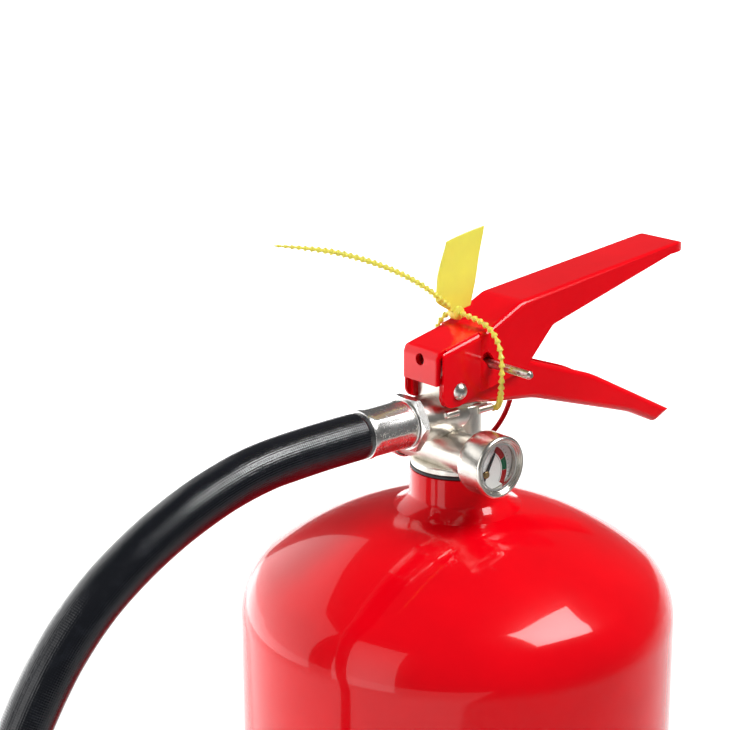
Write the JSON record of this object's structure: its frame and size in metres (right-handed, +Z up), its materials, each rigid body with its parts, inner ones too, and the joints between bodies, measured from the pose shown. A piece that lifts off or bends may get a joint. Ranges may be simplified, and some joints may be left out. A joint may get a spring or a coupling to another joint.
{
  "type": "fire extinguisher",
  "caption": "Stored-pressure dry powder fire extinguisher with squeeze lever, carrying handle, pressure gauge, safety pin, tamper seal and hose.",
  "frame": {"origin": "centre of the flat floor of the foot cup, under the cylinder's axis", "axes": "+Z up along the cylinder's axis, +X towards the tips of the lever and carrying handle, hose outlet towards -X, pressure gauge towards -Y"},
  "size_m": [0.3203, 0.164, 0.5339],
  "materials": {
    "red_paint": "glossy powder coat",
    "cast_nickel": "nickel plated casting with a fine grain",
    "bright_zinc": "bright zinc plate",
    "pin_steel": "plain drawn wire",
    "red_wire": "thin red coating on wire",
    "brass": "turned",
    "black_rubber": "fine cloth impression",
    "seal_rubber": "smooth",
    "white_plastic": "satin",
    "black_plastic": "fine moulded grain",
    "yellow_plastic": "slightly translucent",
    "dial_face": "printed dial",
    "needle_black": "satin black",
    "clear_glass": "flat polished",
    "spring_steel": "drawn wire"
  },
  "bodies": {
    "root": {"cylinder_shell": "red_paint", "neck_ring": "red_paint", "foot_cup": "black_plastic", "valve_body": "cast_nickel", "neck_o_ring": "seal_rubber", "rear_plug": "bright_zinc", "stem_spring": "spring_steel", "tube_adapter": "white_plastic", "dip_tube": "white_plastic", "gauge_case": "bright_zinc", "gauge_socket": "brass", "gauge_dial": "dial_face", "gauge_lens": "clear_glass", "lens_ring": "bright_zinc", "bourdon_tube": "brass", "carrying_handle": "red_paint", "lever_rivet": "pin_steel", "handle_pins": "pin_steel", "seal_strap": "yellow_plastic", "seal_tail": "yellow_plastic", "seal_flag": "yellow_plastic", "hose_fitting": "bright_zinc", "hose_gasket": "seal_rubber", "hose_ferrule": "bright_zinc", "hose": "black_rubber", "nozzle_ferrule": "bright_zinc", "nozzle": "black_plastic", "holder_band": "black_plastic", "nozzle_clip": "black_plastic"},
    "lever": {"operating_lever": "red_paint"},
    "stem": {"valve_stem": "brass", "stem_o_rings": "seal_rubber", "seat_gasket": "seal_rubber"},
    "pin": {"safety_pin": "pin_steel"},
    "pull_ring": {"pull_ring": "red_wire"},
    "needle": {"gauge_needle": "needle_black", "needle_spindle": "brass"}
  },
  "joints": [
    {"name": "lever_squeeze", "type": "hinge", "parent": "root", "child": "lever", "pos_m": [-0.0089, 0, 0.471], "axis": [0, 1, 0], "range_deg": [0, 12], "stiffness_Nm_per_rad": 0.6, "springref_deg": -20.05},
    {"name": "stem_press", "type": "slide", "parent": "root", "child": "stem", "axis": [0, 0, -1], "range_m": [0, 0.0027], "deforming": ["stem_spring"]},
    {"name": "pin_pull", "type": "slide", "parent": "root", "child": "pin", "axis": [0, 1, 0], "range_m": [0, 0.05]},
    {"name": "ring_swing", "type": "hinge", "parent": "pin", "child": "pull_ring", "pos_m": [0.00865, 0.0186, 0.47485], "axis": [0, 1, 0], "range_deg": [-35, 0]},
    {"name": "needle_turn", "type": "hinge", "parent": "root", "child": "needle", "pos_m": [-0.0128, -0.0274, 0.4455], "axis": [0, 1, 0], "range_deg": [0, 92]}
  ],
  "couplings": [
    {"joint": "stem_press", "follows": "lever_squeeze", "m_per_rad": 0.0124}
  ]
}
